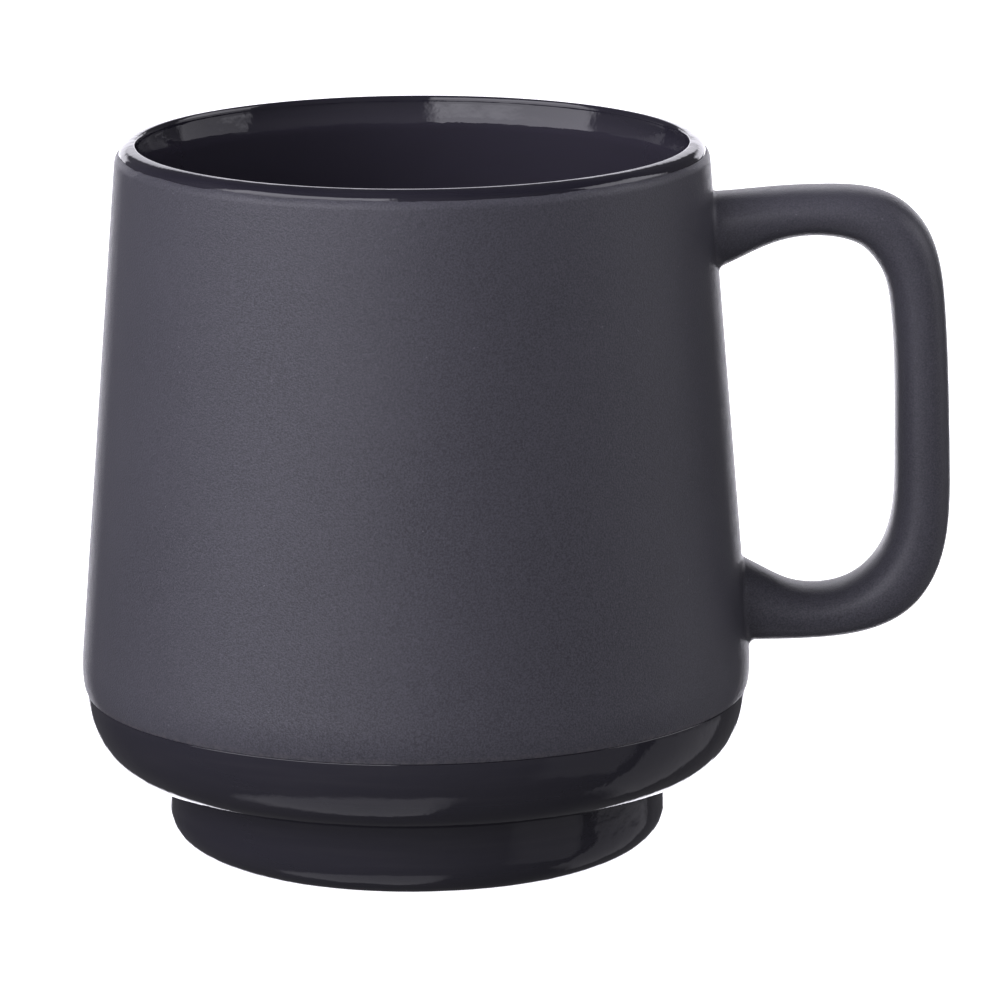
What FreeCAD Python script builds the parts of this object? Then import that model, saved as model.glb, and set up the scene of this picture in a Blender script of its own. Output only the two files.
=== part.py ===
"""Stackable ceramic mug: a cast clay vessel and handle, luted together and glazed.

The vessel flares gently from a rounded rim down to a low shoulder, then turns under to a
narrower foot that fits inside the rim of another mug.  A satin coat covers the flared
wall and the handle.  A glossy coat covers the inside, the rim, the band below the
shoulder and the foot.  The ring that the mug stands on is bare clay.

Frame: millimetres, +Z up, origin at the centre of the foot's underside on the vessel's
axis, handle towards +X.
"""
import FreeCAD, Part
import math
import os

from FreeCAD import Vector

# --- coat thicknesses -----------------------------------------------------------------
SATIN = 0.50
GLOSS = 0.25

# --- flared wall ----------------------------------------------------------------------
HEIGHT = 95.0
WALL_RADIUS_AT_RIM = 39.35
WALL_TAPER = 0.0793
WALL_THICKNESS = 3.75

# --- rim ------------------------------------------------------------------------------
CREST_RADIUS = 36.95
RIM_OUTER_RADIUS = 38.90
RIM_OUTER_HEIGHT = 93.55
RIM_INNER_RADIUS = 36.60
RIM_INNER_HEIGHT = 94.20
NECK_HEIGHT = 91.20
NECK_BLEND = 0.80
SATIN_TOP = 93.20
CLAY_SHOULDER_HEIGHT = 92.40
SATIN_EDGE_ROUND = 0.40

# --- shoulder and band ----------------------------------------------------------------
SHOULDER_START = 26.0
SHOULDER_CORNER = 22.4
BAND_TOP = 21.1
BAND_RADIUS = 44.40
BAND_STRAIGHT_END = 20.6
BAND_TUCK = 0.10
STEP_HEIGHT = 10.7
STEP_RADIUS = 36.7

# --- foot -----------------------------------------------------------------------------
FOOT_RADIUS = 33.6
FOOT_CORNER = 0.8
FOOT_ROUND = 4.90
GLAZE_STOP_ANGLE = 70.0
RING_INNER_RADIUS = 26.4
WELL_DEPTH = 1.80
WELL_EDGE = (25.6, 1.0)
WELL_CORNER_RADIUS = 25.0
WELL_FLAT_RADIUS = 23.8

# --- inside of the vessel -------------------------------------------------------------
FLOOR_HEIGHT = 6.0
FLOOR_RADIUS = 25.0
INNER_FOOT_RADIUS = 29.8
INNER_FOOT_TOP = 10.6
INNER_STEP_CORNER = 12.8
INNER_STEP_START = (32.6, 13.6)
INNER_SHOULDER_CORNER = 16.2
INNER_SHOULDER_END = 24.5

# --- handle ---------------------------------------------------------------------------
HANDLE_WIDTH = 13.0
SECTION_POWER = 2.4
SECTION_POINTS = 32
LUTE_THICKNESS = 0.6
LUTE_FILLET = 0.9
COAT_FILLET = 1.1
# Centre line from the upper root to the lower root: x, z, and half the glazed
# handle's thickness at that place.
HANDLE_STATIONS = [
    (36.5, 82.0, 5.70),
    (41.4, 83.2, 4.65),
    (45.6, 84.3, 3.80),
    (50.0, 85.1, 3.28),
    (54.2, 85.3, 3.20),
    (58.0, 85.0, 3.45),
    (61.6, 83.9, 3.85),
    (64.6, 81.3, 4.05),
    (66.4, 77.5, 3.80),
    (67.3, 72.0, 3.60),
    (67.8, 63.0, 3.58),
    (68.0, 52.0, 3.68),
    (67.8, 44.0, 3.80),
    (66.5, 38.4, 4.05),
    (63.6, 34.1, 4.10),
    (59.2, 31.6, 3.62),
    (54.0, 30.7, 3.42),
    (49.4, 30.9, 3.88),
    (45.0, 31.8, 5.00),
    (40.0, 33.0, 6.40),
]

# --- cones that cut the handle to the flared wall ---------------------------------------
CONE_LOW = 25.0
CONE_HIGH = 92.0
EDGE_SAMPLES = (0.1, 0.5, 0.9)
ON_WALL_TOLERANCE = 0.01

ORIGIN = Vector(0, 0, 0)
UP = Vector(0, 0, 1)
CIRCLE_WEIGHT = math.sqrt(0.5)


def wall_radius(z, coat):
    """Radius at height z of the surface that lies `coat` deep in the flared wall."""
    return WALL_RADIUS_AT_RIM - coat + (HEIGHT - z) * WALL_TAPER


def point(r, z):
    """Point of a profile: r from the vessel's axis, z above the table."""
    return Vector(r, 0.0, z)


def line(start, end):
    """Straight stretch of a profile."""
    return Part.LineSegment(point(*start), point(*end)).toShape()


def bend(start, corner, end):
    """Elliptical quarter from start to end, tangent at both to lines through corner."""
    curve = Part.BezierCurve()
    curve.setPoles([point(*start), point(*corner), point(*end)])
    curve.setWeight(2, CIRCLE_WEIGHT)
    return curve.toShape()


def on_circle(centre, radius, degrees_down):
    """Profile point on a circle, at an angle below the horizontal."""
    angle = math.radians(degrees_down)
    return (centre[0] + radius * math.cos(angle), centre[1] - radius * math.sin(angle))


def arc(centre, radius, first, last):
    """Circular stretch of a profile between two angles below the horizontal."""
    stops = [first, (first + last) / 2.0, last]
    return Part.Arc(*[point(*on_circle(centre, radius, stop)) for stop in stops]).toShape()


def revolve(edges):
    """Solid of revolution about the vessel's axis from the edges of a closed profile."""
    wire = Part.Wire(Part.__sortEdges__(edges))
    return Part.Face(wire).revolve(ORIGIN, UP, 360)


def inside_profile(depth):
    """Inside of the vessel from the middle of its floor to the crest of the rim.

    `depth` is how far below the visible surface the profile lies.
    """
    wall = WALL_THICKNESS - depth
    floor = FLOOR_HEIGHT - depth
    foot = INNER_FOOT_RADIUS + depth
    step_corner = (foot, INNER_STEP_CORNER - depth)
    step = (INNER_STEP_START[0], INNER_STEP_START[1] - depth)
    shoulder_corner = (
        wall_radius(INNER_SHOULDER_CORNER, wall),
        INNER_SHOULDER_CORNER - depth,
    )
    shoulder_end = (wall_radius(INNER_SHOULDER_END, wall), INNER_SHOULDER_END)
    neck_start = (wall_radius(NECK_HEIGHT - NECK_BLEND, wall), NECK_HEIGHT - NECK_BLEND)
    neck = (wall_radius(NECK_HEIGHT, wall), NECK_HEIGHT)
    rim = (RIM_INNER_RADIUS + depth, RIM_INNER_HEIGHT)
    share = NECK_BLEND / (RIM_INNER_HEIGHT - NECK_HEIGHT)
    neck_end = (
        neck[0] + (rim[0] - neck[0]) * share,
        neck[1] + (rim[1] - neck[1]) * share,
    )
    crest = (CREST_RADIUS, HEIGHT - depth)
    return [
        line((0, floor), (FLOOR_RADIUS, floor)),
        bend((FLOOR_RADIUS, floor), (foot, floor), (foot, INNER_FOOT_TOP)),
        bend((foot, INNER_FOOT_TOP), step_corner, step),
        bend(step, shoulder_corner, shoulder_end),
        line(shoulder_end, neck_start),
        bend(neck_start, neck, neck_end),
        line(neck_end, rim),
        bend(rim, (rim[0], crest[1]), crest),
    ]


def rim_profile(depth):
    """Outside of the rim from its crest down to the top of the satin coat."""
    radius = RIM_OUTER_RADIUS - depth
    crest = (CREST_RADIUS, HEIGHT - depth)
    side = (radius, RIM_OUTER_HEIGHT)
    return [
        bend(crest, (radius, crest[1]), side),
        line(side, (radius, SATIN_TOP)),
    ]


def flared_profile(coat):
    """Flared wall and shoulder, `coat` below the satin surface, down to the band."""
    top = (wall_radius(CLAY_SHOULDER_HEIGHT, coat), CLAY_SHOULDER_HEIGHT)
    start = (wall_radius(SHOULDER_START, coat), SHOULDER_START)
    corner = (wall_radius(SHOULDER_CORNER, coat), SHOULDER_CORNER)
    end = (BAND_RADIUS + BAND_TUCK - coat, BAND_TOP)
    return [line(top, start), bend(start, corner, end)]


def band_profile(depth):
    """Band and step, `depth` below the gloss surface, down to the foot's rounding."""
    radius = BAND_RADIUS - depth
    straight_end = (radius, BAND_STRAIGHT_END)
    step = STEP_HEIGHT + depth
    foot = FOOT_RADIUS - depth
    return [
        line((radius, BAND_TOP), straight_end),
        bend(straight_end, (radius, step), (STEP_RADIUS, step)),
        line((STEP_RADIUS, step), (FOOT_RADIUS + FOOT_CORNER, step)),
        bend((FOOT_RADIUS + FOOT_CORNER, step), (foot, step), (foot, STEP_HEIGHT - FOOT_CORNER)),
        line((foot, STEP_HEIGHT - FOOT_CORNER), (foot, FOOT_ROUND)),
    ]


def well_profile(depth):
    """Recess under the foot, `depth` above its glazed surface, to the axis."""
    edge = (WELL_EDGE[0] - GLOSS + depth, WELL_EDGE[1])
    ceiling = WELL_DEPTH - GLOSS + depth
    corner = (WELL_CORNER_RADIUS - GLOSS + depth, ceiling)
    return [
        bend(edge, corner, (WELL_FLAT_RADIUS, ceiling)),
        line((WELL_FLAT_RADIUS, ceiling), (0, ceiling)),
    ]


def foot_centre(depth):
    """Centre of the circle that rounds the foot, and its radius at a given depth."""
    return (FOOT_RADIUS - GLOSS - FOOT_ROUND, FOOT_ROUND), FOOT_ROUND + GLOSS - depth


def clay_body():
    """Cast vessel with its floor, shoulder and foot, before glazing."""
    centre, radius = foot_centre(GLOSS)
    outside_end = (BAND_RADIUS - GLOSS, BAND_TOP)
    flare_end = (BAND_RADIUS + BAND_TUCK - SATIN, BAND_TOP)
    return revolve(
        inside_profile(GLOSS)
        + rim_profile(GLOSS)
        + [
            line(
                (RIM_OUTER_RADIUS - GLOSS, SATIN_TOP),
                (wall_radius(CLAY_SHOULDER_HEIGHT, SATIN), CLAY_SHOULDER_HEIGHT),
            )
        ]
        + flared_profile(SATIN)
        + [line(flare_end, outside_end)]
        + band_profile(GLOSS)
        + [
            arc(centre, radius, 0.0, 90.0),
            line((centre[0], 0), (RING_INNER_RADIUS, 0)),
            line((RING_INNER_RADIUS, 0), WELL_EDGE),
        ]
        + well_profile(GLOSS)
        + [line((0, WELL_DEPTH), (0, FLOOR_HEIGHT - GLOSS))]
    )


def liner_glaze():
    """Gloss coat inside the vessel and over its rim."""
    return revolve(
        inside_profile(0.0)
        + rim_profile(0.0)
        + [line((RIM_OUTER_RADIUS, SATIN_TOP), (RIM_OUTER_RADIUS - GLOSS, SATIN_TOP))]
        + rim_profile(GLOSS)
        + inside_profile(GLOSS)
        + [line((0, FLOOR_HEIGHT - GLOSS), (0, FLOOR_HEIGHT))]
    )


def satin_shell():
    """Satin coat on the flared wall and shoulder, before the handle's roots cut it."""
    surface = wall_radius(SATIN_TOP, 0.0)
    rounded = SATIN_TOP - SATIN_EDGE_ROUND
    under_rim = (RIM_OUTER_RADIUS - GLOSS, SATIN_TOP)
    clay_shoulder = (wall_radius(CLAY_SHOULDER_HEIGHT, SATIN), CLAY_SHOULDER_HEIGHT)
    ledge = (surface - SATIN_EDGE_ROUND, SATIN_TOP)
    side = (wall_radius(rounded, 0.0), rounded)
    return revolve(
        [
            line(under_rim, ledge),
            bend(ledge, (surface, SATIN_TOP), side),
            line(side, (wall_radius(CLAY_SHOULDER_HEIGHT, 0.0), CLAY_SHOULDER_HEIGHT)),
        ]
        + flared_profile(0.0)
        + [
            line(
                (BAND_RADIUS + BAND_TUCK, BAND_TOP),
                (BAND_RADIUS + BAND_TUCK - SATIN, BAND_TOP),
            )
        ]
        + flared_profile(SATIN)
        + [line(clay_shoulder, under_rim)]
    )


def base_gloss_glaze():
    """Gloss coat on the band, the step and the outside of the foot."""
    centre, outer = foot_centre(0.0)
    inner = outer - GLOSS
    stop = GLAZE_STOP_ANGLE
    return revolve(
        [line((BAND_RADIUS - GLOSS, BAND_TOP), (BAND_RADIUS, BAND_TOP))]
        + band_profile(0.0)
        + [
            arc(centre, outer, 0.0, stop),
            line(on_circle(centre, outer, stop), on_circle(centre, inner, stop)),
            arc(centre, inner, stop, 0.0),
        ]
        + band_profile(GLOSS)
    )


def foot_well_glaze():
    """Gloss coat in the recess under the foot."""
    return revolve(
        [line(WELL_EDGE, (WELL_EDGE[0] - GLOSS, WELL_EDGE[1]))]
        + well_profile(0.0)
        + [line((0, WELL_DEPTH - GLOSS), (0, WELL_DEPTH))]
        + well_profile(GLOSS)
    )


def section(centre, direction, half_thickness, half_width):
    """Rounded handle section about centre, square to the direction of the handle."""
    inward = Vector(direction.z, 0.0, -direction.x)
    sideways = Vector(0.0, 1.0, 0.0)
    outline = []
    for step in range(SECTION_POINTS):
        angle = 2.0 * math.pi * (step + 0.5) / SECTION_POINTS
        across = abs(math.cos(angle)) / half_thickness
        along = abs(math.sin(angle)) / half_width
        reach = (across**SECTION_POWER + along**SECTION_POWER) ** (-1.0 / SECTION_POWER)
        offset = inward * (reach * math.cos(angle)) + sideways * (reach * math.sin(angle))
        outline.append(centre + offset)
    curve = Part.BSplineCurve()
    curve.interpolate(Points=outline, PeriodicFlag=True)
    return Part.Wire(curve.toShape())


def handle_bar(depth):
    """Handle as one smooth bar that runs into the wall at both roots."""
    centres = [point(x, z) for x, z, _ in HANDLE_STATIONS]
    path = Part.BSplineCurve()
    path.interpolate(centres)
    sections = []
    for centre, (_, _, half_thickness) in zip(centres, HANDLE_STATIONS):
        direction = path.tangent(path.parameter(centre))[0]
        half_width = HANDLE_WIDTH / 2.0 - depth
        sections.append(section(centre, direction, half_thickness - depth, half_width))
    return Part.makeLoft(sections, True, False)


def wall_cone(coat):
    """Solid cone inside the flared wall's surface that lies `coat` deep."""
    low = wall_radius(CONE_LOW, coat)
    high = wall_radius(CONE_HIGH, coat)
    cone = Part.makeCone(low, high, CONE_HIGH - CONE_LOW, Vector(0, 0, CONE_LOW))
    cone.rotate(ORIGIN, UP, 180)
    return cone


def root_edges(shape, coat):
    """Edges where the handle's bar meets the flared wall.

    The cone's own edges start on the far side of the vessel's axis, so they are left out.
    """
    found = []
    for edge in shape.Edges:
        first, last = edge.ParameterRange
        spots = [edge.valueAt(first + (last - first) * share) for share in EDGE_SAMPLES]
        on_wall = all(
            abs(math.hypot(spot.x, spot.y) - wall_radius(spot.z, coat)) < ON_WALL_TOLERANCE
            for spot in spots
        )
        if on_wall and spots[0].x > 0.0:
            found.append(edge)
    return found


def rooted_bar(depth, fillet):
    """Handle bar from the wall outwards, with a concave fillet round each root."""
    cone = wall_cone(depth)
    joined = cone.fuse(handle_bar(depth))
    filleted = joined.makeFillet(fillet, root_edges(joined, depth))
    return filleted.cut(cone)


def handle_and_lutes():
    """Cast handle, and the pads of slip that join its two roots to the vessel."""
    bar = rooted_bar(SATIN, LUTE_FILLET)
    lute_cone = wall_cone(SATIN - LUTE_THICKNESS)
    pads = sorted(bar.common(lute_cone).Solids, key=lambda solid: solid.CenterOfMass.z)
    lower, upper = pads
    return bar, bar.cut(lute_cone).Solids[0], upper, lower


def build_parts():
    """All sub-parts of the mug by node name."""
    bare_bar, handle, upper, lower = handle_and_lutes()
    coated_bar = rooted_bar(0.0, COAT_FILLET)
    return {
        "clay_body": clay_body(),
        "handle": handle,
        "upper_handle_joint": upper,
        "lower_handle_joint": lower,
        "liner_glaze": liner_glaze(),
        "body_satin_glaze": satin_shell().cut(bare_bar).Solids[0],
        "handle_satin_glaze": coated_bar.cut(bare_bar).Solids[0],
        "base_gloss_glaze": base_gloss_glaze(),
        "foot_well_glaze": foot_well_glaze(),
    }


def main():
    os.makedirs("parts", exist_ok=True)
    for name, shape in build_parts().items():
        box = shape.BoundBox
        print(
            f"{name}: {shape.ShapeType} valid {shape.isValid()} volume {shape.Volume:.1f} "
            f"x {box.XMin:.2f}..{box.XMax:.2f} y {box.YMin:.2f}..{box.YMax:.2f} "
            f"z {box.ZMin:.2f}..{box.ZMax:.2f}"
        )
        shape.exportStep(f"parts/{name}.step")


main()
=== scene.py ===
"""Looks of the stackable ceramic mug: its glaze coats, its bare foot, and a small studio.

Each coat of glaze is a closed shell of its own that replaces the plain CAD coat.  The
clay under the glaze stays as the CAD made it.  Outlines are in millimetres from the
mug's axis and from the floor, and become metres where a mesh is made.
"""
import math

import bmesh
import bpy
import numpy as np
from mathutils import Matrix, Vector, noise


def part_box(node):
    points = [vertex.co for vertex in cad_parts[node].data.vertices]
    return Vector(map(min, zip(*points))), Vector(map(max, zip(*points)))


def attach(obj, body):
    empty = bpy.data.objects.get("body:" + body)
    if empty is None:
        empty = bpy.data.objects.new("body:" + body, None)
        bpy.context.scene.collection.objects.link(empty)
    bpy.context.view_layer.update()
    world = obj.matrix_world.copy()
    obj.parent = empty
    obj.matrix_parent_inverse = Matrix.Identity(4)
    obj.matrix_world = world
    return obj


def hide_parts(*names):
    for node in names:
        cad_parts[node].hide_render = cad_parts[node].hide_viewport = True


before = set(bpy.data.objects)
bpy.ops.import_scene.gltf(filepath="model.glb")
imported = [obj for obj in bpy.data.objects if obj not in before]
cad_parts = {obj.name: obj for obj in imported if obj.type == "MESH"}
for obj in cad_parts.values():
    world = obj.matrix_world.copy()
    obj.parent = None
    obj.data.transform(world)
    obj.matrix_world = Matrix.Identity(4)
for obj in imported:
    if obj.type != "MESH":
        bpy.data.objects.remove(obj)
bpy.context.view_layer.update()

MM = 0.001

# --- thickness of the coats -----------------------------------------------------------------
SATIN = 0.50
GLOSS = 0.25

# --- sizes read from the frame --------------------------------------------------------------
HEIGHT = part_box("liner_glaze")[1].z / MM
BAND_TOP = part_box("base_gloss_glaze")[1].z / MM
BAND_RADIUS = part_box("base_gloss_glaze")[1].x / MM
FLOOR_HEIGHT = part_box("liner_glaze")[0].z / MM + GLOSS

# --- flared wall and rim --------------------------------------------------------------------
WALL_RADIUS_AT_RIM = 39.35
WALL_TAPER = 0.0793
WALL_THICKNESS = 3.75
CREST_RADIUS = 36.95
RIM_OUTER_RADIUS = 38.90
RIM_OUTER_HEIGHT = 93.55
RIM_INNER_RADIUS = 36.60
RIM_INNER_HEIGHT = 94.20
NECK_HEIGHT = 91.20
NECK_BLEND = 0.80
LINER_TUCK_HEIGHT = 92.85
SATIN_LAP = (38.91, 93.76)
SATIN_ROUND_TOP = 93.45
SATIN_ROUND_END = 92.60
# How far the satin's upper edge wanders, about how many swells a turn, and a noise seed.
SATIN_EDGE_WANDER = [(0.16, 14, 3.7), (0.09, 60, 8.1), (0.05, 240, 5.3)]

# --- shoulder, band and foot ----------------------------------------------------------------
SHOULDER_START = 26.0
SHOULDER_CORNER = 22.4
BAND_TUCK = 0.10
GROOVE_ROUND = 0.16
BAND_STRAIGHT_END = 20.6
STEP_HEIGHT = 10.7
STEP_RADIUS = 36.7
FOOT_RADIUS = 33.6
FOOT_CORNER = 0.8
FOOT_ROUND = 4.90
GLAZE_STOP_ANGLE = 70.0
GLAZE_TIP_ANGLE = 65.0
WELL_DEPTH = 1.80
WELL_EDGE = (25.6, 1.0)
WELL_CORNER_RADIUS = 25.0
WELL_FLAT_RADIUS = 23.8

# --- inside of the vessel -------------------------------------------------------------------
FLOOR_RADIUS = 25.0
INNER_FOOT_RADIUS = 29.8
INNER_FOOT_TOP = 10.6
INNER_STEP_CORNER = 12.8
INNER_STEP_START = (32.6, 13.6)
INNER_SHOULDER_CORNER = 16.2
INNER_SHOULDER_END = 24.5

# --- handle: centre line x and z, and half its thickness, from the upper root down ----------
HANDLE_STATIONS = [
    (36.5, 82.0, 5.70),
    (41.4, 83.2, 4.65),
    (45.6, 84.3, 3.80),
    (50.0, 85.1, 3.28),
    (54.2, 85.3, 3.20),
    (58.0, 85.0, 3.45),
    (61.6, 83.9, 3.85),
    (64.6, 81.3, 4.05),
    (66.4, 77.5, 3.80),
    (67.3, 72.0, 3.60),
    (67.8, 63.0, 3.58),
    (68.0, 52.0, 3.68),
    (67.8, 44.0, 3.80),
    (66.5, 38.4, 4.05),
    (63.6, 34.1, 4.10),
    (59.2, 31.6, 3.62),
    (54.0, 30.7, 3.42),
    (49.4, 30.9, 3.88),
    (45.0, 31.8, 5.00),
    (40.0, 33.0, 6.40),
]
HANDLE_HALF_WIDTH = 6.5
SECTION_POWER = 2.4
HANDLE_RINGS = 220
HANDLE_SIDES = 72
ROOT_FILLET_SIDES = 1.25
ROOT_FILLET_CRISP = 0.45
ROOT_FILLET_UNDER = 1.10
INNER_FILLET_SCALE = 0.5
SKIRT = 0.35
SKIRT_SINK = 0.06

# --- fineness: the steps that a turn and each kind of stretch are cut into -------------------
TURNS = 320
STRAIGHT_STEPS = 4
ROUND_STEPS = 12
LONG_STEPS = 60
FLOOR_STEPS = 24
NECK_STEPS = 6
RIM_BEVEL_STEPS = 8
SATIN_LAP_STEPS = 10
GROOVE_STEPS = 5
FOOT_LIP_STEPS = 8
FOOT_SIDE_STEPS = 12
GLAZE_TIP_STEPS = 6
WELL_STEPS = 16
FILLET_STEPS = 8
MERGE_DISTANCE = 1e-7
SHARP_ANGLE = math.radians(40.0)

# --- glazes and clay: colours, swells a metre, and heights of relief in metres ---------------
# A spread gives the two noise values, and the two shares of a colour that they stand for.
NOISE_RANGE = (0.3, 0.7)
GLASS_IOR = 1.5
# The satin's two tones: a cloud mixes them, and so does height, as painted light paler towards the
# rim.
SATIN_TONES = ((0.0365, 0.0360, 0.0438), (0.0510, 0.0503, 0.0610))
SATIN_GRAIN_TONE = (0.088, 0.086, 0.103)
SATIN_SPECK_TONE = (0.16, 0.16, 0.18)
SATIN_THIN_TONE = (0.105, 0.098, 0.105)
SATIN_THIN_EDGE = 1.0
SATIN_SCALES = {"grain": 4200.0, "cloud": 45.0, "speck": 1500.0}
SATIN_SPREADS = {
    "grain": (0.35, 0.72, 0.0, 0.75),
    "speck": (0.78, 0.84, 0.0, 0.5),
    "thin edge": (0.40, 0.62, 0.0, 0.6),
}
SATIN_RELIEF = {"grain": 0.00006, "cloud": 0.00004}
SATIN_ROUGHNESS = (0.38, 0.52)
SATIN_SPECULAR = 0.25
SATIN_SHEEN = {"Coat Weight": 0.35, "Coat IOR": 1.3, "Coat Roughness": 0.27}
GLOSS_TONES = ((0.0135, 0.0127, 0.0195), (0.0155, 0.0147, 0.0215))
# Lining: darker at the rim, and a paler tone below the neck that is painted light inside the cup.
LINING_TONES_WITH_PAINTED_LIGHT = ((0.012, 0.011, 0.018), (0.030, 0.0275, 0.0385))
GLOSS_LINE_TONE = (0.030, 0.028, 0.034)
GLOSS_LINE_STRETCH = (1.0, 1.0, 16.0)
GLOSS_SCALES = {"swell": 110.0, "ripple": 600.0, "cloud": 60.0, "lines": 60.0}
GLOSS_SPREADS = {"cloud": (*NOISE_RANGE, 0.0, 0.2), "lines": (0.45, 0.75, 0.0, 0.25)}
GLOSS_RELIEF = {"swell": 0.00018, "ripple": 0.000030}
GLOSS_ROUGHNESS = (0.035, 0.06)
CLAY_TONES = ((0.30, 0.26, 0.22), (0.40, 0.36, 0.31))
SLIP_TONES = ((0.32, 0.29, 0.26), (0.42, 0.39, 0.35))
IRON_TONE = (0.06, 0.035, 0.02)
CLAY_SCALES = {"sand": 2600.0, "cloud": 90.0, "iron": 1300.0}
IRON_SPREAD = (0.70, 0.76, 0.0, 0.8)
CLAY_RELIEF = 0.00012
CLAY_RELIEF_STRENGTH = 0.7
CLAY_ROUGHNESS = (0.75, 0.92)

# --- camera ---------------------------------------------------------------------------------
CAMERA_DISTANCE = 0.9265
CAMERA_HEIGHT = 0.2519
CAMERA_YAW = 0.0123
CAMERA_PITCH = 0.2186
CAMERA_ROLL = -0.0053
CAMERA_LENS = 254.77
CAMERA_RANGE = (0.01, 50.0)
SENSOR_WIDTH = 36.0

# --- studio ---------------------------------------------------------------------------------
WHITE = (1.0, 1.0, 1.0)
FLOOR_REACH = 0.85
FLOOR_SIDES = 96
FLOOR_GLOW = 0.95
FLOOR_GAP = 0.0001
FLOOR_TONES = ((0.85, 0.85, 0.85), (0.87, 0.87, 0.87))
FLOOR_SWELLS = 3.0
FLOOR_ROUGHNESS = 0.9
MUG_MIDDLE = Vector((0.0, 0.0, 0.045))
ROOM_LIGHT_SIDE = (-0.35, -0.93, 0.0)
ROOM_RADIANCE = (0.11, 0.30)
ROOM_DARK_SIDE = -0.3
CEILING_RISE = (20.0, 55.0)
CEILING_DIMMING = 0.65
LIGHT_COLOUR = (0.99, 0.972, 1.06)
# Disks of light over the mug and beside it: place, width and radiance.
WASHES = {
    "top_wash": ((-0.10, -0.15, 0.80), 0.70, 1.5),
    "side_wash": ((-0.42, -0.22, 0.36), 0.42, 2.1),
}
# Soft patches of light: the side that their turn is measured from, the four edges of
# their turn and of their rise in degrees, and how bright they are against white paper.
LIGHT_PATCHES = [
    ("front", (-88.0, -80.0, -12.0, -4.0), (-4.0, 0.0, 14.0, 30.0), 2.8),
    ("front", (-86.0, -78.0, -12.0, -6.0), (4.0, 20.0, 38.0, 45.0), 3.9),
    ("front", (72.0, 76.0, 114.0, 120.0), (-12.0, -8.0, 22.0, 30.0), 0.82),
    ("front", (72.0, 76.0, 114.0, 120.0), (6.0, 16.0, 34.0, 42.0), 2.4),
    ("front", (88.0, 92.0, 130.0, 136.0), (-60.0, -48.0, -16.0, -11.0), 0.37),
    ("front", (-120.0, -95.0, 5.0, 40.0), (-90.5, -90.1, -58.0, -50.0), 0.70),
    ("front", (30.0, 52.0, 78.0, 86.0), (-40.0, -34.0, -9.0, -5.0), 0.33),
    ("back", (-32.0, -27.0, 27.0, 32.0), (-6.0, -2.0, 8.0, 15.0), 1.9),
    ("back", (-18.0, -13.0, 13.0, 18.0), (8.0, 12.0, 21.0, 27.0), 1.6),
    ("back", (-20.0, -15.0, 15.0, 20.0), (-22.0, -17.0, -5.0, -2.0), 4.0),
    ("back", (-19.0, -14.0, 14.0, 19.0), (-40.0, -33.0, -20.0, -16.0), 2.6),
]


# === outlines ===============================================================================
def wall_radius(z, depth=0.0):
    """Radius of the flared wall at height z, `depth` under its satin surface."""
    return WALL_RADIUS_AT_RIM - depth + (HEIGHT - z) * WALL_TAPER


def line(start, end, steps=STRAIGHT_STEPS):
    """Points of a straight stretch of an outline, without its last point."""
    share = np.arange(steps)[:, None] / steps
    return (1.0 - share) * np.array(start) + share * np.array(end)


def bend(start, corner, end, steps=ROUND_STEPS):
    """Points of an elliptical quarter that turns round corner, without its last point."""
    share = np.arange(steps)[:, None] / steps
    weights = [(1.0 - share) ** 2, math.sqrt(2.0) * share * (1.0 - share), share**2]
    total = sum(weights)
    poles = [np.array(start), np.array(corner), np.array(end)]
    return sum(weight * pole for weight, pole in zip(weights, poles)) / total


def on_circle(centre, radius, degrees_down):
    """Point on a circle, at an angle below the horizontal."""
    angle = math.radians(degrees_down)
    return (centre[0] + radius * math.cos(angle), centre[1] - radius * math.sin(angle))


def arc(centre, radius, first, last, steps):
    """Points of a circular stretch between two angles below the horizontal."""
    angles = [first + (last - first) * step / steps for step in range(steps)]
    return np.array([on_circle(centre, radius, angle) for angle in angles])


def inside_outline(depth):
    """Inside of the vessel, from the middle of its floor to the crest of the rim."""
    wall = WALL_THICKNESS - depth
    floor = FLOOR_HEIGHT - depth
    foot = INNER_FOOT_RADIUS + depth
    foot_top = (foot, INNER_FOOT_TOP)
    step = (INNER_STEP_START[0], INNER_STEP_START[1] - depth)
    shoulder = (wall_radius(INNER_SHOULDER_CORNER, wall), INNER_SHOULDER_CORNER - depth)
    shoulder_end = (wall_radius(INNER_SHOULDER_END, wall), INNER_SHOULDER_END)
    neck_start = (wall_radius(NECK_HEIGHT - NECK_BLEND, wall), NECK_HEIGHT - NECK_BLEND)
    neck = np.array((wall_radius(NECK_HEIGHT, wall), NECK_HEIGHT))
    rim = np.array((RIM_INNER_RADIUS + depth, RIM_INNER_HEIGHT))
    neck_end = neck + (rim - neck) * NECK_BLEND / (RIM_INNER_HEIGHT - NECK_HEIGHT)
    crest = (CREST_RADIUS, HEIGHT - depth)
    return [
        line((0.0, floor), (FLOOR_RADIUS, floor), FLOOR_STEPS),
        bend((FLOOR_RADIUS, floor), (foot, floor), foot_top),
        bend(foot_top, (foot, INNER_STEP_CORNER - depth), step),
        bend(step, shoulder, shoulder_end),
        line(shoulder_end, neck_start, LONG_STEPS),
        bend(neck_start, neck, neck_end, NECK_STEPS),
        line(neck_end, rim, RIM_BEVEL_STEPS),
        bend(rim, (rim[0], crest[1]), crest),
    ]


def rim_outline(depth):
    """Outside of the rim, from its crest down to where the gloss goes under the satin."""
    radius = RIM_OUTER_RADIUS - depth
    crest = (CREST_RADIUS, HEIGHT - depth)
    side = (radius, RIM_OUTER_HEIGHT)
    return [
        bend(crest, (radius, crest[1]), side, 2 * ROUND_STEPS),
        line(side, (radius, LINER_TUCK_HEIGHT)),
    ]


def closed_shell(outer, inner, last_outer, last_inner):
    """Closed outline of a coat from the stretches of its two faces."""
    front = np.concatenate(outer + [np.array([last_outer])])
    back = np.concatenate(inner + [np.array([last_inner])])
    return np.concatenate([front, back[::-1]])


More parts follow.
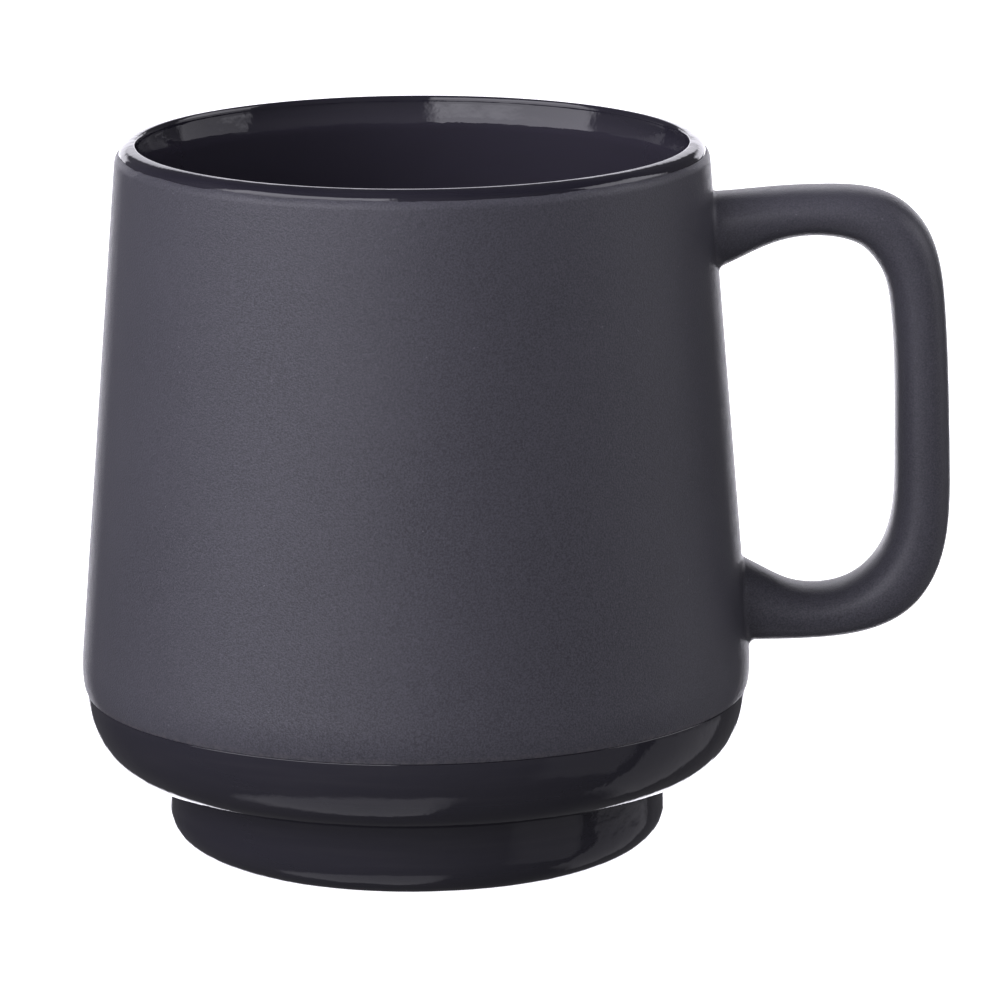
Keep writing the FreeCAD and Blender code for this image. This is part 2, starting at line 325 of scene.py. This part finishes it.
def liner_outline():
    """Gloss coat on the inside and over the rim."""
    return closed_shell(
        inside_outline(0.0) + rim_outline(0.0),
        inside_outline(GLOSS) + rim_outline(GLOSS),
        (RIM_OUTER_RADIUS, LINER_TUCK_HEIGHT),
        (RIM_OUTER_RADIUS - GLOSS, LINER_TUCK_HEIGHT),
    )


def satin_outline():
    """Satin coat on the flared wall, with rounded edges at the rim and at the band."""
    under_lap = (SATIN_LAP[0] - GLOSS / 2.0, SATIN_LAP[1])
    round_top = (wall_radius(SATIN_ROUND_TOP), SATIN_ROUND_TOP)
    round_end = (wall_radius(SATIN_ROUND_END), SATIN_ROUND_END)
    foot = BAND_RADIUS + BAND_TUCK
    foot_side = (foot, BAND_TOP + GROOVE_ROUND)
    foot_end = (foot - GROOVE_ROUND, BAND_TOP)
    under = (wall_radius(LINER_TUCK_HEIGHT, SATIN), LINER_TUCK_HEIGHT)

    def shoulder(depth, low):
        start = (wall_radius(SHOULDER_START, depth), SHOULDER_START)
        corner = (wall_radius(SHOULDER_CORNER, depth), SHOULDER_CORNER)
        return start, bend(start, corner, (foot - depth, low), 2 * ROUND_STEPS)

    start, turn = shoulder(0.0, BAND_TOP + GROOVE_ROUND)
    back_start, back_turn = shoulder(SATIN, BAND_TOP)
    outer = [
        line(under_lap, SATIN_LAP, STRAIGHT_STEPS // 2),
        bend(SATIN_LAP, round_top, round_end, SATIN_LAP_STEPS),
        line(round_end, start, 2 * LONG_STEPS),
        turn,
        bend(foot_side, (foot, BAND_TOP), foot_end, GROOVE_STEPS),
    ]
    inner = [line(under, back_start, LONG_STEPS), back_turn]
    return closed_shell(outer, inner, foot_end, (foot - SATIN, BAND_TOP))


def base_outline():
    """Gloss coat on the band, the step and the outside of the foot."""

    def face(depth):
        radius = BAND_RADIUS - depth
        step = STEP_HEIGHT + depth
        foot = FOOT_RADIUS - depth
        lip = (FOOT_RADIUS + FOOT_CORNER, step)
        foot_top = (foot, STEP_HEIGHT - FOOT_CORNER)
        round_radius = FOOT_ROUND + GLOSS - depth
        return [
            line((radius, BAND_TOP - GROOVE_ROUND), (radius, BAND_STRAIGHT_END)),
            bend((radius, BAND_STRAIGHT_END), (radius, step), (STEP_RADIUS, step), 3 * ROUND_STEPS),
            line((STEP_RADIUS, step), lip),
            bend(lip, (foot, step), foot_top, FOOT_LIP_STEPS),
            line(foot_top, (foot, FOOT_ROUND), FOOT_SIDE_STEPS),
            arc(round_centre, round_radius, 0.0, GLAZE_TIP_ANGLE, 2 * ROUND_STEPS),
        ]

    round_centre = (FOOT_RADIUS - GLOSS - FOOT_ROUND, FOOT_ROUND)
    tip_start = on_circle(round_centre, FOOT_ROUND + GLOSS, GLAZE_TIP_ANGLE)
    tip_corner = on_circle(round_centre, FOOT_ROUND + GLOSS, GLAZE_STOP_ANGLE)
    stop = on_circle(round_centre, FOOT_ROUND, GLAZE_STOP_ANGLE)
    tip = bend(tip_start, tip_corner, stop, GLAZE_TIP_STEPS)
    top = (BAND_RADIUS - GROOVE_ROUND, BAND_TOP)
    side = (BAND_RADIUS, BAND_TOP - GROOVE_ROUND)
    groove = bend(top, (BAND_RADIUS, BAND_TOP), side, GROOVE_STEPS)
    # The inner face starts a step lower, so that the edge that closes the shell slopes.
    inner = face(GLOSS)
    inner[0] = inner[0][1:]
    return closed_shell([groove] + face(0.0) + [tip], inner, stop, stop)


def well_outline():
    """Gloss coat in the recess under the foot."""

    def face(depth):
        edge = (WELL_EDGE[0] - GLOSS + depth, WELL_EDGE[1])
        ceiling = WELL_DEPTH - GLOSS + depth
        corner = (WELL_CORNER_RADIUS - GLOSS + depth, ceiling)
        flat = (WELL_FLAT_RADIUS, ceiling)
        return [bend(edge, corner, flat), line(flat, (0.0, ceiling), WELL_STEPS)]

    return closed_shell(face(0.0), face(GLOSS), (0.0, WELL_DEPTH - GLOSS), (0.0, WELL_DEPTH))


# === meshes =================================================================================
def make_piece(name, corners, faces, node, slot, material):
    """A smooth closed mesh that stands for one CAD coat and moves with the mug."""
    mesh = bpy.data.meshes.new(name)
    mesh.from_pydata([tuple(corner) for corner in corners * MM], [], faces)
    work = bmesh.new()
    work.from_mesh(mesh)
    bmesh.ops.remove_doubles(work, verts=work.verts, dist=MERGE_DISTANCE)
    bmesh.ops.recalc_face_normals(work, faces=work.faces)
    work.to_mesh(mesh)
    work.free()
    mesh.shade_smooth()
    mesh.set_sharp_from_angle(angle=SHARP_ANGLE)
    mesh.materials.append(material)
    piece = bpy.data.objects.new(name, mesh)
    bpy.context.scene.collection.objects.link(piece)
    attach(piece, "root")
    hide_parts(node)


def grid_faces(rows, columns):
    """Quads of a grid that closes on itself both ways."""
    faces = []
    for row in range(rows):
        below = (row + 1) % rows
        for column in range(columns):
            beside = (column + 1) % columns
            faces.append(
                (
                    row * columns + column,
                    row * columns + beside,
                    below * columns + beside,
                    below * columns + column,
                )
            )
    return faces


def ragged(angle, waves, seed):
    """Smooth noise round the axis, between -1 and 1, with about `waves` swells a turn."""
    reach = waves / 4.0
    return noise.noise(Vector((reach * math.cos(angle), reach * math.sin(angle), seed)))


def turned(outline, warp=None):
    """Corners and faces of an outline turned about the mug's axis."""
    rows = []
    for turn in range(TURNS):
        angle = 2.0 * math.pi * turn / TURNS
        shape = outline if warp is None else warp(outline, angle)
        radius, height = shape[:, 0], shape[:, 1]
        rows.append(np.stack([radius * math.cos(angle), radius * math.sin(angle), height], axis=1))
    return np.concatenate(rows), grid_faces(TURNS, len(outline))


def satin_edge_warp(outline, angle):
    """Lets the satin's upper edge wander a little, as a dipped edge does."""
    wander = sum(reach * ragged(angle, waves, seed) for reach, waves, seed in SATIN_EDGE_WANDER)
    above = outline[:, 1] - SATIN_ROUND_END
    near_top = np.clip(above / (SATIN_LAP[1] - SATIN_ROUND_END), 0.0, 1.0)
    shape = outline.copy()
    shape[:, 1] += wander * near_top
    return shape


# === handle =================================================================================
def smooth_through(knots, count):
    """Natural cubic spline through rows of numbers, spaced evenly by length."""
    knots = np.array(knots)
    steps = np.linalg.norm(np.diff(knots[:, :2], axis=0), axis=1)
    places = np.concatenate([[0.0], np.cumsum(steps)])
    size = len(knots)
    system = np.eye(size)
    right = np.zeros((size, knots.shape[1]))
    slopes = np.diff(knots, axis=0) / steps[:, None]
    for index in range(1, size - 1):
        system[index, index - 1] = steps[index - 1]
        system[index, index] = 2.0 * (steps[index - 1] + steps[index])
        system[index, index + 1] = steps[index]
        right[index] = 6.0 * (slopes[index] - slopes[index - 1])
    curvature = np.linalg.solve(system, right)
    asked = np.linspace(0.0, places[-1], count)
    span = np.clip(np.searchsorted(places, asked, side="right") - 1, 0, size - 2)
    width = steps[span][:, None]
    left = (places[span + 1] - asked)[:, None] / width
    rest = 1.0 - left
    cubic = (left**3 - left) * curvature[span] + (rest**3 - rest) * curvature[span + 1]
    return left * knots[span] + rest * knots[span + 1] + cubic * width**2 / 6.0


def handle_rails(depth):
    """Corners of the handle's bar: one row a section, one column a rail."""
    stations = smooth_through(HANDLE_STATIONS, HANDLE_RINGS)
    along = np.gradient(stations[:, :2], axis=0)
    along /= np.linalg.norm(along, axis=1)[:, None]
    thickness = stations[:, 2] - depth
    half_width = HANDLE_HALF_WIDTH - depth
    angles = 2.0 * math.pi * np.arange(HANDLE_SIDES) / HANDLE_SIDES
    rails = np.zeros((HANDLE_RINGS, HANDLE_SIDES, 3))
    for ring in range(HANDLE_RINGS):
        across = np.abs(np.cos(angles)) / thickness[ring]
        beside = np.abs(np.sin(angles)) / half_width
        reach = (across**SECTION_POWER + beside**SECTION_POWER) ** (-1.0 / SECTION_POWER)
        inward = np.array([along[ring, 1], 0.0, -along[ring, 0]])
        centre = np.array([stations[ring, 0], 0.0, stations[ring, 1]])
        rails[ring] = centre + np.outer(reach * np.cos(angles), inward)
        rails[ring, :, 1] += reach * np.sin(angles)
    return rails


def onto_wall(corner):
    """Nearest point of the flared wall's surface at the same height."""
    radius = math.hypot(corner[0], corner[1])
    scale = wall_radius(corner[2]) / radius
    return np.array([corner[0] * scale, corner[1] * scale, corner[2]])


def root_rings(rails, fillet_of):
    """Rings that carry the bar's first sections into the wall by a concave fillet.

    Returns the rings from under the wall outwards, and the first section that stays.
    """
    columns = []
    first_clear = 0
    for column in range(HANDLE_SIDES):
        rail = rails[:, column]
        outside = np.hypot(rail[:, 0], rail[:, 1]) - wall_radius(rail[:, 2])
        crossing = int(np.argmax(outside > 0.0))
        share = -outside[crossing - 1] / (outside[crossing] - outside[crossing - 1])
        corner = rail[crossing - 1] + share * (rail[crossing] - rail[crossing - 1])
        fillet = fillet_of(column)
        travel = np.cumsum(np.linalg.norm(np.diff(rail[crossing:], axis=0), axis=1))
        travel = np.concatenate([[0.0], travel]) + np.linalg.norm(rail[crossing] - corner)
        on_bar = np.array([np.interp(fillet, travel, rail[crossing:, axis]) for axis in range(3)])
        away = corner - rails[crossing].mean(axis=0)
        normal = np.array([corner[0], corner[1], WALL_TAPER * math.hypot(corner[0], corner[1])])
        normal /= np.linalg.norm(normal)
        away -= normal * np.dot(away, normal)
        away /= np.linalg.norm(away)
        on_wall = onto_wall(corner + fillet * away)
        hem = onto_wall(corner + (fillet + SKIRT) * away) - SKIRT_SINK * normal
        curve = bend(on_wall, corner, on_bar, FILLET_STEPS)
        columns.append(np.concatenate([[hem], curve, [on_bar]]))
        first_clear = max(first_clear, crossing + int(np.argmax(travel > fillet)) + 1)
    return np.array(columns).transpose(1, 0, 2), first_clear


def handle_skin(depth, fillet_scale):
    """Rings of the handle's surface from the upper root to the lower root."""
    rails = handle_rails(depth)

    def sideways(column):
        return math.sin(2.0 * math.pi * column / HANDLE_SIDES) ** 2

    def upper(column):
        soft = ROOT_FILLET_SIDES - ROOT_FILLET_CRISP
        return fillet_scale * (ROOT_FILLET_CRISP + soft * sideways(column))

    def lower(column):
        under = max(0.0, -math.cos(2.0 * math.pi * column / HANDLE_SIDES))
        crisp = ROOT_FILLET_CRISP + (ROOT_FILLET_UNDER - ROOT_FILLET_CRISP) * under
        soft = ROOT_FILLET_SIDES - crisp
        return fillet_scale * (crisp + soft * sideways(column))

    start, first = root_rings(rails, upper)
    end, last = root_rings(rails[::-1], lower)
    middle = rails[first : HANDLE_RINGS - last]
    return np.concatenate([start, middle, end[::-1]])


def handle_coat():
    """Closed satin coat round the handle: its outer skin and an inner skin."""
    outer = handle_skin(0.0, 1.0)
    inner = handle_skin(SATIN, INNER_FILLET_SCALE)
    rings = np.concatenate([outer, inner[::-1]])
    return rings.reshape(-1, 3), grid_faces(len(rings), HANDLE_SIDES)


# === materials ==============================================================================
def new_material(name):
    """New node material, its node tree, its principled shader and its mug coordinates."""
    material = bpy.data.materials.new(name)
    material.use_nodes = True
    tree = material.node_tree
    shader = tree.nodes["Principled BSDF"]
    place = tree.nodes.new("ShaderNodeTexCoord").outputs["Object"]
    return material, tree, shader, place


def noise_at(tree, place, scale, detail=2.0, rough=0.5):
    """Noise value at a mug place; scale is in swells a metre."""
    node = tree.nodes.new("ShaderNodeTexNoise")
    node.inputs["Scale"].default_value = scale
    node.inputs["Detail"].default_value = detail
    node.inputs["Roughness"].default_value = rough
    tree.links.new(place, node.inputs["Vector"])
    return node.outputs["Fac"]


def mapped(tree, value, low, high, out_low, out_high, shape="LINEAR"):
    """Value moved from one range to another, held at the ends."""
    node = tree.nodes.new("ShaderNodeMapRange")
    node.interpolation_type = shape
    for name, number in zip(
        ("From Min", "From Max", "To Min", "To Max"), (low, high, out_low, out_high)
    ):
        node.inputs[name].default_value = number
    tree.links.new(value, node.inputs["Value"])
    return node.outputs["Result"]


def maths(tree, operation, *values):
    """Result of one sum on one or two values, each a number or a socket."""
    node = tree.nodes.new("ShaderNodeMath")
    node.operation = operation
    for socket, value in zip(node.inputs, values):
        if isinstance(value, float):
            socket.default_value = value
        else:
            tree.links.new(value, socket)
    return node.outputs["Value"]


def stretched(tree, place, scale):
    """Mug place with each axis scaled by its own factor."""
    node = tree.nodes.new("ShaderNodeVectorMath")
    node.operation = "MULTIPLY"
    node.inputs[1].default_value = scale
    tree.links.new(place, node.inputs[0])
    return node.outputs["Vector"]


def height_at(tree, place):
    """Height above the floor, in metres."""
    node = tree.nodes.new("ShaderNodeSeparateXYZ")
    tree.links.new(place, node.inputs["Vector"])
    return node.outputs["Z"]


def mixed(tree, factor, first, second):
    """Colour between two colours, each a tuple or a socket."""
    node = tree.nodes.new("ShaderNodeMix")
    node.data_type = "RGBA"
    tree.links.new(factor, node.inputs["Factor"])
    for socket, colour in zip((node.inputs[6], node.inputs[7]), (first, second)):
        if isinstance(colour, tuple):
            socket.default_value = (*colour, 1.0)
        else:
            tree.links.new(colour, socket)
    return node.outputs[2]


def bumped(tree, height, distance, strength=1.0, below=None):
    """Normal that a height in metres gives, on top of an earlier bump if there is one."""
    node = tree.nodes.new("ShaderNodeBump")
    node.inputs["Strength"].default_value = strength
    node.inputs["Distance"].default_value = distance
    tree.links.new(height, node.inputs["Height"])
    if below is not None:
        tree.links.new(below, node.inputs["Normal"])
    return node.outputs["Normal"]


def satin_glaze():
    """Satin charcoal glaze: a dry, fine grain with a soft sheen at grazing angles.

    It is a little paler towards the rim, which is painted light falling from above, and
    paler and speckled where it thins out above the band.
    """
    material, tree, shader, place = new_material("satin_charcoal_glaze")
    grain = noise_at(tree, place, SATIN_SCALES["grain"], 2.0, 0.6)
    cloud = noise_at(tree, place, SATIN_SCALES["cloud"], 3.0)
    speck = noise_at(tree, place, SATIN_SCALES["speck"], 1.0)
    height = height_at(tree, place)

    cloudy = mapped(tree, cloud, *NOISE_RANGE, 0.0, 1.0)
    # Painted light: the satin grows paler with height, towards the rim, standing in for light from
    # above.
    high = mapped(tree, height, SHOULDER_START * MM, HEIGHT * MM, 0.0, 1.0)
    pale = maths(tree, "MULTIPLY", maths(tree, "ADD", cloudy, high), 0.5)
    tone = mixed(tree, pale, *SATIN_TONES)
    grains = mapped(tree, grain, *SATIN_SPREADS["grain"])
    grainy = mixed(tree, grains, tone, SATIN_GRAIN_TONE)
    specks = mapped(tree, speck, *SATIN_SPREADS["speck"])
    spotted = mixed(tree, specks, grainy, SATIN_SPECK_TONE)
    edge_end = (BAND_TOP + SATIN_THIN_EDGE) * MM
    low_edge = mapped(tree, height, BAND_TOP * MM, edge_end, 1.0, 0.0)
    thin_spots = mapped(tree, speck, *SATIN_SPREADS["thin edge"])
    thin = maths(tree, "MULTIPLY", low_edge, thin_spots)
    tree.links.new(mixed(tree, thin, spotted, SATIN_THIN_TONE), shader.inputs["Base Color"])

    roughness = mapped(tree, grain, *NOISE_RANGE, *SATIN_ROUGHNESS)
    tree.links.new(roughness, shader.inputs["Roughness"])
    clouded = bumped(tree, cloud, SATIN_RELIEF["cloud"])
    normal = bumped(tree, grain, SATIN_RELIEF["grain"], 1.0, clouded)
    tree.links.new(normal, shader.inputs["Normal"])
    tree.links.new(normal, shader.inputs["Coat Normal"])
    shader.inputs["IOR"].default_value = GLASS_IOR
    shader.inputs["Specular IOR Level"].default_value = SATIN_SPECULAR
    for name, number in SATIN_SHEEN.items():
        shader.inputs[name].default_value = number
    return material


def gloss_glaze(name, deep, inside_tone_and_painted_light):
    """Gloss black glaze with a faint blue cast, slightly wavy as fired glass is.

    The tone changes below the neck of the vessel, and faint turning lines run round it.
    On the lining, the paler tone below the neck is painted light inside the cup.
    """
    material, tree, shader, place = new_material(name)
    swell = noise_at(tree, place, GLOSS_SCALES["swell"])
    ripple = noise_at(tree, place, GLOSS_SCALES["ripple"])
    cloud = noise_at(tree, place, GLOSS_SCALES["cloud"])
    stretched_place = stretched(tree, place, GLOSS_LINE_STRETCH)
    lines = noise_at(tree, stretched_place, GLOSS_SCALES["lines"], 3.0)

    height = height_at(tree, place)
    # On the lining, the paler tone below the neck is painted light that brightens the inside of the
    # cup.
    below_neck = mapped(tree, height, RIM_INNER_HEIGHT * MM, NECK_HEIGHT * MM, 0.0, 1.0)
    base = mixed(tree, below_neck, deep, inside_tone_and_painted_light)
    clouded = mixed(tree, mapped(tree, cloud, *GLOSS_SPREADS["cloud"]), base, inside_tone_and_painted_light)
    tone = mixed(tree, mapped(tree, lines, *GLOSS_SPREADS["lines"]), clouded, GLOSS_LINE_TONE)
    tree.links.new(tone, shader.inputs["Base Color"])

    roughness = mapped(tree, cloud, *NOISE_RANGE, *GLOSS_ROUGHNESS)
    tree.links.new(roughness, shader.inputs["Roughness"])
    swollen = bumped(tree, swell, GLOSS_RELIEF["swell"])
    normal = bumped(tree, ripple, GLOSS_RELIEF["ripple"], 1.0, swollen)
    tree.links.new(normal, shader.inputs["Normal"])
    shader.inputs["IOR"].default_value = GLASS_IOR
    return material


def stoneware(name, tones):
    """Bare fired clay: sandy, matt, with small iron specks."""
    material, tree, shader, place = new_material(name)
    sand = noise_at(tree, place, CLAY_SCALES["sand"], 3.0, 0.7)
    cloud = noise_at(tree, place, CLAY_SCALES["cloud"], 3.0)
    iron = noise_at(tree, place, CLAY_SCALES["iron"], 1.0)

    tone = mixed(tree, mapped(tree, cloud, *NOISE_RANGE, 0.0, 1.0), *tones)
    spotted = mixed(tree, mapped(tree, iron, *IRON_SPREAD), tone, IRON_TONE)
    tree.links.new(spotted, shader.inputs["Base Color"])
    roughness = mapped(tree, sand, *NOISE_RANGE, *CLAY_ROUGHNESS)
    tree.links.new(roughness, shader.inputs["Roughness"])
    tree.links.new(bumped(tree, sand, CLAY_RELIEF, CLAY_RELIEF_STRENGTH), shader.inputs["Normal"])
    return material


# === studio =================================================================================
def add_camera():
    """Camera in front of the mug and a little above it."""
    camera = bpy.data.objects.new("camera", bpy.data.cameras.new("camera"))
    camera.data.sensor_width = SENSOR_WIDTH
    camera.data.lens = CAMERA_LENS
    camera.data.clip_start, camera.data.clip_end = CAMERA_RANGE
    ahead = Vector((math.sin(CAMERA_YAW), math.cos(CAMERA_YAW), 0.0))
    down = Vector((0.0, 0.0, -1.0))
    forward = math.cos(CAMERA_PITCH) * ahead + math.sin(CAMERA_PITCH) * down
    right = Vector((math.cos(CAMERA_YAW), -math.sin(CAMERA_YAW), 0.0))
    up = right.cross(forward)
    tilted_right = math.cos(CAMERA_ROLL) * right + math.sin(CAMERA_ROLL) * up
    tilted_up = math.cos(CAMERA_ROLL) * up - math.sin(CAMERA_ROLL) * right
    axes = Matrix((tilted_right, tilted_up, -forward)).transposed()
    place = Matrix.Translation((0.0, -CAMERA_DISTANCE, CAMERA_HEIGHT))
    camera.matrix_world = place @ axes.to_4x4()
    bpy.context.scene.collection.objects.link(camera)
    bpy.context.scene.camera = camera


def add_floor():
    """Plain pale floor, just under the foot.  The gloss mirrors the studio and not the floor."""
    mesh = bpy.data.meshes.new("floor")
    work = bmesh.new()
    bmesh.ops.create_circle(work, cap_ends=True, radius=FLOOR_REACH, segments=FLOOR_SIDES)
    work.to_mesh(mesh)
    work.free()
    material, tree, shader, place = new_material("pale_floor")
    tone = mixed(tree, noise_at(tree, place, FLOOR_SWELLS), *FLOOR_TONES)
    tree.links.new(tone, shader.inputs["Base Color"])
    shader.inputs["Roughness"].default_value = FLOOR_ROUGHNESS
    shader.inputs["Emission Color"].default_value = (*WHITE, 1.0)
    shader.inputs["Emission Strength"].default_value = FLOOR_GLOW
    mesh.materials.append(material)
    floor = bpy.data.objects.new("floor", mesh)
    floor.location.z = -FLOOR_GAP
    bpy.context.scene.collection.objects.link(floor)
    floor.visible_glossy = False
    floor.visible_diffuse = False


def soft_range(tree, value, edges):
    """One between the middle two edges, fading to nothing at the outer two."""
    rise = mapped(tree, value, edges[0], edges[1], 0.0, 1.0, "SMOOTHSTEP")
    fall = mapped(tree, value, edges[2], edges[3], 1.0, 0.0, "SMOOTHSTEP")
    return maths(tree, "MULTIPLY", rise, fall)


def room_light(tree, place, rise):
    """Radiance of the dim room: brighter in front of the mug, darker behind and overhead."""
    facing = tree.nodes.new("ShaderNodeVectorMath")
    facing.operation = "DOT_PRODUCT"
    tree.links.new(place, facing.inputs[0])
    facing.inputs[1].default_value = ROOM_LIGHT_SIDE
    walls = mapped(tree, facing.outputs["Value"], ROOM_DARK_SIDE, 1.0, *ROOM_RADIANCE)
    ceiling = mapped(tree, rise, *CEILING_RISE, 1.0, CEILING_DIMMING)
    return maths(tree, "MULTIPLY", walls, ceiling)


def patch_light(tree, turn, rise, turn_edges, rise_edges, radiance):
    """Radiance of one soft patch of light, nothing outside it."""
    across = soft_range(tree, turn, turn_edges)
    along = soft_range(tree, rise, rise_edges)
    return maths(tree, "MULTIPLY", maths(tree, "MULTIPLY", across, along), radiance)


def add_surround():
    """Dim room round the mug with soft light panels; the camera sees plain white."""
    world = bpy.data.worlds.new("surround")
    bpy.context.scene.world = world
    world.use_nodes = True
    tree = world.node_tree
    place = tree.nodes.new("ShaderNodeTexCoord").outputs["Generated"]
    parts = tree.nodes.new("ShaderNodeSeparateXYZ")
    tree.links.new(place, parts.inputs["Vector"])
    east, north, up = parts.outputs
    south = maths(tree, "MULTIPLY", north, -1.0)
    degrees = math.degrees(1.0)
    rise = maths(tree, "MULTIPLY", maths(tree, "ARCSINE", up), degrees)
    turns = {
        "front": maths(tree, "MULTIPLY", maths(tree, "ARCTAN2", east, south), degrees),
        "back": maths(tree, "MULTIPLY", maths(tree, "ARCTAN2", east, north), degrees),
    }

    light = room_light(tree, place, rise)
    for side, turn_edges, rise_edges, radiance in LIGHT_PATCHES:
        patch = patch_light(tree, turns[side], rise, turn_edges, rise_edges, radiance)
        light = maths(tree, "MAXIMUM", light, patch)
    seen = tree.nodes.new("ShaderNodeLightPath").outputs["Is Camera Ray"]
    background = tree.nodes["Background"]
    tree.links.new(mixed(tree, seen, LIGHT_COLOUR, WHITE), background.inputs["Color"])
    tree.links.new(maths(tree, "MAXIMUM", light, seen), background.inputs["Strength"])


def add_wash(name, place, size, radiance):
    """Soft light that shades the satin and isn't mirrored in the gloss."""
    light = bpy.data.lights.new(name, "AREA")
    light.shape = "DISK"
    light.size = size
    light.energy = radiance * math.pi * math.pi * (size / 2.0) ** 2
    light.color = LIGHT_COLOUR
    panel = bpy.data.objects.new(name, light)
    panel.location = place
    panel.rotation_mode = "QUATERNION"
    panel.rotation_quaternion = (Vector(place) - MUG_MIDDLE).to_track_quat("Z", "Y")
    panel.visible_camera = False
    panel.visible_glossy = False
    bpy.context.scene.collection.objects.link(panel)


def add_coats():
    """The five glaze coats, each in the place of its CAD coat."""
    satin = satin_glaze()
    gloss = gloss_glaze("gloss_black_glaze", *GLOSS_TONES)
    lining = gloss_glaze("gloss_lining_glaze", *LINING_TONES_WITH_PAINTED_LIGHT)
    wall = turned(satin_outline(), satin_edge_warp)
    base = turned(base_outline())
    well = turned(well_outline())
    make_piece("gloss_liner", *turned(liner_outline()), "liner_glaze", "gloss_glaze", lining)
    make_piece("satin_wall", *wall, "body_satin_glaze", "satin_glaze", satin)
    make_piece("satin_handle", *handle_coat(), "handle_satin_glaze", "satin_glaze", satin)
    make_piece("gloss_base", *base, "base_gloss_glaze", "gloss_glaze", gloss)
    make_piece("gloss_foot_well", *well, "foot_well_glaze", "gloss_glaze", gloss)


def cover_clay():
    """Clay and slip materials on the CAD nodes that stay."""
    clay = stoneware("bare_stoneware", CLAY_TONES)
    slip = stoneware("joining_slip", SLIP_TONES)
    for node, material in (
        ("clay_body", clay),
        ("handle", clay),
        ("upper_handle_joint", slip),
        ("lower_handle_joint", slip),
    ):
        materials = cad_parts[node].data.materials
        materials.clear()
        materials.append(material)


def main():
    add_coats()
    cover_clay()
    add_camera()
    add_floor()
    add_surround()
    for name, (place, size, radiance) in WASHES.items():
        add_wash(name, place, size, radiance)
    bpy.context.scene.view_settings.view_transform = "Standard"


main()
